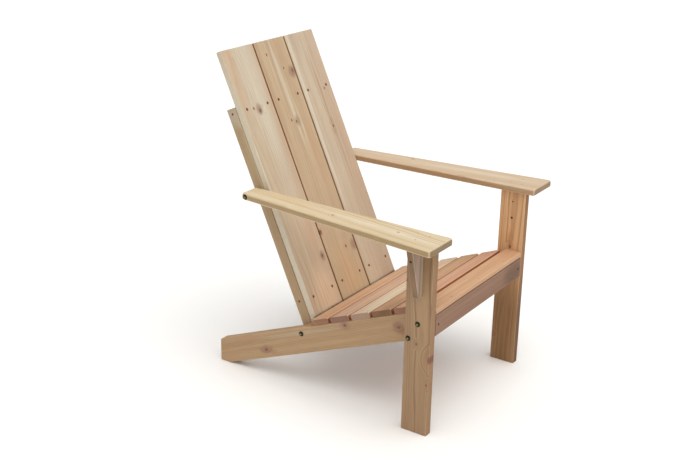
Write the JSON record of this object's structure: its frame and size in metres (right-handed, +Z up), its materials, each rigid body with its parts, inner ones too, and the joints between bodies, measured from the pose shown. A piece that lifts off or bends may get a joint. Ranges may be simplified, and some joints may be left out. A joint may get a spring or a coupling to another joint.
{
  "type": "adirondack chair",
  "caption": "Outdoor lounge chair with a steep flat plank back, a sloping slatted seat, wide tapered armrests on brackets, and side rails that form the rear feet.",
  "frame": {"origin": "middle of the chair's outline on the ground, at the underside of its feet", "axes": "X to the sitter's left across the chair, Y backwards from the seat's front to the feet of the side rails, Z up"},
  "size_m": [0.696, 0.7786, 0.9271],
  "materials": {
    "cedar": "raw, sanded",
    "zinc_plate": "yellow zinc plated",
    "deck_screw": "brown coated",
    "galvanised_nail": "hot dip galvanised"
  },
  "bodies": {
    "root": {"left_front_leg": "cedar", "left_side_rail": "cedar", "left_back_upright": "cedar", "left_armrest": "cedar", "left_arm_bracket": "cedar", "right_front_leg": "cedar", "right_side_rail": "cedar", "right_back_upright": "cedar", "right_armrest": "cedar", "right_arm_bracket": "cedar", "front_apron": "cedar", "seat_slat_1": "cedar", "seat_slat_2": "cedar", "seat_slat_3": "cedar", "seat_slat_4": "cedar", "seat_slat_5": "cedar", "front_seat_slat": "cedar", "back_plank_left": "cedar", "back_plank_middle": "cedar", "back_plank_right": "cedar", "lower_back_rail": "cedar", "upper_back_rail": "cedar", "leg_bolts": "zinc_plate", "back_foot_bolts": "zinc_plate", "armrest_bolts": "zinc_plate", "bolt_washers": "zinc_plate", "bolt_nuts": "zinc_plate", "back_plank_screws": "deck_screw", "cross_rail_screws": "deck_screw", "apron_screws": "deck_screw", "bracket_screws": "deck_screw", "seat_slat_nails": "galvanised_nail", "armrest_nails": "galvanised_nail"}
  },
  "joints": []
}
